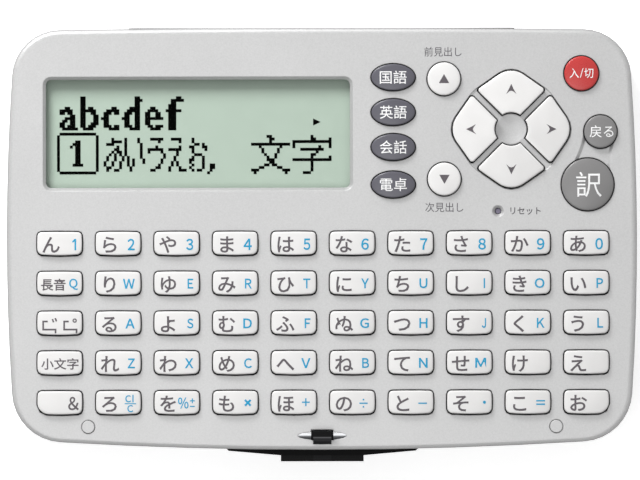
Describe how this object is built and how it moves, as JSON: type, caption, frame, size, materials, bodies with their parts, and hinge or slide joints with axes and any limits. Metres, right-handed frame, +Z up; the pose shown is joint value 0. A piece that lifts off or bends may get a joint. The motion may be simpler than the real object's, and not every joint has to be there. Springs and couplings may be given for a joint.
{
  "type": "pocket electronic dictionary",
  "caption": "Flat silver pocket dictionary with a display, rows of small domed keys, an arrow pad, a sliding front latch and a lid that folds right round on a two-axis hinge.",
  "frame": {"origin": "middle of the object's plan, on the plane that the folded-back lid's rim stands on", "axes": "+X along the long side to the right as the keyboard is read, +Y towards the hinge edge, +Z up out of the keyboard face; the lid is folded back under the case at rest"},
  "size_m": [0.1102, 0.076, 0.0153],
  "materials": {
    "silver_paint": "silver metallic paint, fine sparkle",
    "pale_key_plastic": "smooth",
    "dark_key_plastic": "smooth",
    "grey_key_plastic": "smooth",
    "red_key_plastic": "smooth",
    "grey_plastic": "plain",
    "black_plastic": "satin",
    "window_plastic": "clear",
    "display_glass": "grey green",
    "reflector_film": "diffuse",
    "polished_metal": "polished",
    "steel": "plain",
    "crystal_can": "plain",
    "cell_steel": "bright",
    "contact_brass": "plated",
    "silicone": "matte",
    "black_rubber": "matte",
    "board_laminate": "lacquered",
    "chip_resin": "plain",
    "ceramic": "plain"
  },
  "bodies": {
    "case": {"upper_case": "silver_paint", "lower_case": "silver_paint", "lcd_window": "window_plastic", "lcd_front_glass": "display_glass", "lcd_rear_glass": "display_glass", "lcd_reflector": "reflector_film", "lcd_frame": "grey_plastic", "zebra_strip": "silicone", "main_board": "board_laminate", "controller_blob": "chip_resin", "memory_chip": "chip_resin", "crystal": "crystal_can", "capacitors": "ceramic", "keypad_mat_main": "silicone", "keypad_mat_side": "silicone", "stop_pads": "polished_metal", "latch_plate": "polished_metal", "latch_bezel": "black_plastic", "latch_spring": "steel", "coin_cells": "cell_steel", "battery_springs": "contact_brass", "battery_clips": "contact_brass", "case_screws": "steel", "board_screws": "steel", "rubber_feet": "black_rubber", "case_hinge_pins": "steel"},
    "hinge_link": {"hinge_link": "black_plastic"},
    "lid": {"lid": "silver_paint", "lid_hinge_pins": "steel"},
    "latch": {"latch": "black_plastic"},
    "battery_door": {"battery_door": "silver_paint"},
    "reset_plunger": {"reset_plunger": "grey_plastic"},
    "key_column_1": {"key_column_1": "pale_key_plastic"},
    "key_column_2": {"key_column_2": "pale_key_plastic"},
    "key_column_3": {"key_column_3": "pale_key_plastic"},
    "key_column_4": {"key_column_4": "pale_key_plastic"},
    "key_column_5": {"key_column_5": "pale_key_plastic"},
    "key_column_6": {"key_column_6": "pale_key_plastic"},
    "key_column_7": {"key_column_7": "pale_key_plastic"},
    "key_column_8": {"key_column_8": "pale_key_plastic"},
    "key_column_9": {"key_column_9": "pale_key_plastic"},
    "key_column_10": {"key_column_10": "pale_key_plastic"},
    "mode_key_1": {"mode_key_1": "dark_key_plastic"},
    "mode_key_2": {"mode_key_2": "dark_key_plastic"},
    "mode_key_3": {"mode_key_3": "dark_key_plastic"},
    "mode_key_4": {"mode_key_4": "dark_key_plastic"},
    "page_up_key": {"page_up_key": "pale_key_plastic"},
    "page_down_key": {"page_down_key": "pale_key_plastic"},
    "up_key": {"up_key": "pale_key_plastic"},
    "left_key": {"left_key": "pale_key_plastic"},
    "down_key": {"down_key": "pale_key_plastic"},
    "right_key": {"right_key": "pale_key_plastic"},
    "power_key": {"power_key": "red_key_plastic"},
    "back_key": {"back_key": "grey_key_plastic"},
    "enter_key": {"enter_key": "grey_key_plastic"}
  },
  "joints": [
    {"name": "case_hinge", "type": "hinge", "parent": "case", "child": "hinge_link", "pos_m": [0, 0.03685, 0.00855], "axis": [1, 0, 0], "range_deg": [0, 180]},
    {"name": "lid_hinge", "type": "hinge", "parent": "hinge_link", "child": "lid", "pos_m": [0, 0.03685, 0.0018], "axis": [1, 0, 0], "range_deg": [0, 180]},
    {"name": "latch_slide", "type": "slide", "parent": "case", "child": "latch", "axis": [0, 1, 0], "range_m": [0, 0.0009], "stiffness_N_per_m": 300, "deforming": ["latch_spring"]},
    {"name": "battery_door_slide", "type": "slide", "parent": "case", "child": "battery_door", "axis": [-1, 0, 0], "range_m": [0, 0.008]},
    {"name": "reset_press", "type": "slide", "parent": "case", "child": "reset_plunger", "axis": [0, 0, -1], "range_m": [0, 0.0005], "stiffness_N_per_m": 250},
    {"name": "key_column_1_press", "type": "slide", "parent": "case", "child": "key_column_1", "axis": [0, 0, -1], "range_m": [0, 0.0006], "stiffness_N_per_m": 250, "deforming": ["keypad_mat_main"]},
    {"name": "key_column_2_press", "type": "slide", "parent": "case", "child": "key_column_2", "axis": [0, 0, -1], "range_m": [0, 0.0006], "stiffness_N_per_m": 250},
    {"name": "key_column_3_press", "type": "slide", "parent": "case", "child": "key_column_3", "axis": [0, 0, -1], "range_m": [0, 0.0006], "stiffness_N_per_m": 250},
    {"name": "key_column_4_press", "type": "slide", "parent": "case", "child": "key_column_4", "axis": [0, 0, -1], "range_m": [0, 0.0006], "stiffness_N_per_m": 250},
    {"name": "key_column_5_press", "type": "slide", "parent": "case", "child": "key_column_5", "axis": [0, 0, -1], "range_m": [0, 0.0006], "stiffness_N_per_m": 250},
    {"name": "key_column_6_press", "type": "slide", "parent": "case", "child": "key_column_6", "axis": [0, 0, -1], "range_m": [0, 0.0006], "stiffness_N_per_m": 250},
    {"name": "key_column_7_press", "type": "slide", "parent": "case", "child": "key_column_7", "axis": [0, 0, -1], "range_m": [0, 0.0006], "stiffness_N_per_m": 250},
    {"name": "key_column_8_press", "type": "slide", "parent": "case", "child": "key_column_8", "axis": [0, 0, -1], "range_m": [0, 0.0006], "stiffness_N_per_m": 250},
    {"name": "key_column_9_press", "type": "slide", "parent": "case", "child": "key_column_9", "axis": [0, 0, -1], "range_m": [0, 0.0006], "stiffness_N_per_m": 250},
    {"name": "key_column_10_press", "type": "slide", "parent": "case", "child": "key_column_10", "axis": [0, 0, -1], "range_m": [0, 0.0006], "stiffness_N_per_m": 250},
    {"name": "mode_key_1_press", "type": "slide", "parent": "case", "child": "mode_key_1", "axis": [0, 0, -1], "range_m": [0, 0.0006], "stiffness_N_per_m": 250, "deforming": ["keypad_mat_side"]},
    {"name": "mode_key_2_press", "type": "slide", "parent": "case", "child": "mode_key_2", "axis": [0, 0, -1], "range_m": [0, 0.0006], "stiffness_N_per_m": 250},
    {"name": "mode_key_3_press", "type": "slide", "parent": "case", "child": "mode_key_3", "axis": [0, 0, -1], "range_m": [0, 0.0006], "stiffness_N_per_m": 250},
    {"name": "mode_key_4_press", "type": "slide", "parent": "case", "child": "mode_key_4", "axis": [0, 0, -1], "range_m": [0, 0.0006], "stiffness_N_per_m": 250},
    {"name": "page_up_key_press", "type": "slide", "parent": "case", "child": "page_up_key", "axis": [0, 0, -1], "range_m": [0, 0.0006], "stiffness_N_per_m": 250},
    {"name": "page_down_key_press", "type": "slide", "parent": "case", "child": "page_down_key", "axis": [0, 0, -1], "range_m": [0, 0.0006], "stiffness_N_per_m": 250},
    {"name": "up_key_press", "type": "slide", "parent": "case", "child": "up_key", "axis": [0, 0, -1], "range_m": [0, 0.0006], "stiffness_N_per_m": 250},
    {"name": "left_key_press", "type": "slide", "parent": "case", "child": "left_key", "axis": [0, 0, -1], "range_m": [0, 0.0006], "stiffness_N_per_m": 250},
    {"name": "down_key_press", "type": "slide", "parent": "case", "child": "down_key", "axis": [0, 0, -1], "range_m": [0, 0.0006], "stiffness_N_per_m": 250},
    {"name": "right_key_press", "type": "slide", "parent": "case", "child": "right_key", "axis": [0, 0, -1], "range_m": [0, 0.0006], "stiffness_N_per_m": 250},
    {"name": "power_key_press", "type": "slide", "parent": "case", "child": "power_key", "axis": [0, 0, -1], "range_m": [0, 0.0006], "stiffness_N_per_m": 250},
    {"name": "back_key_press", "type": "slide", "parent": "case", "child": "back_key", "axis": [0, 0, -1], "range_m": [0, 0.0006], "stiffness_N_per_m": 250},
    {"name": "enter_key_press", "type": "slide", "parent": "case", "child": "enter_key", "axis": [0, 0, -1], "range_m": [0, 0.0006], "stiffness_N_per_m": 250}
  ]
}
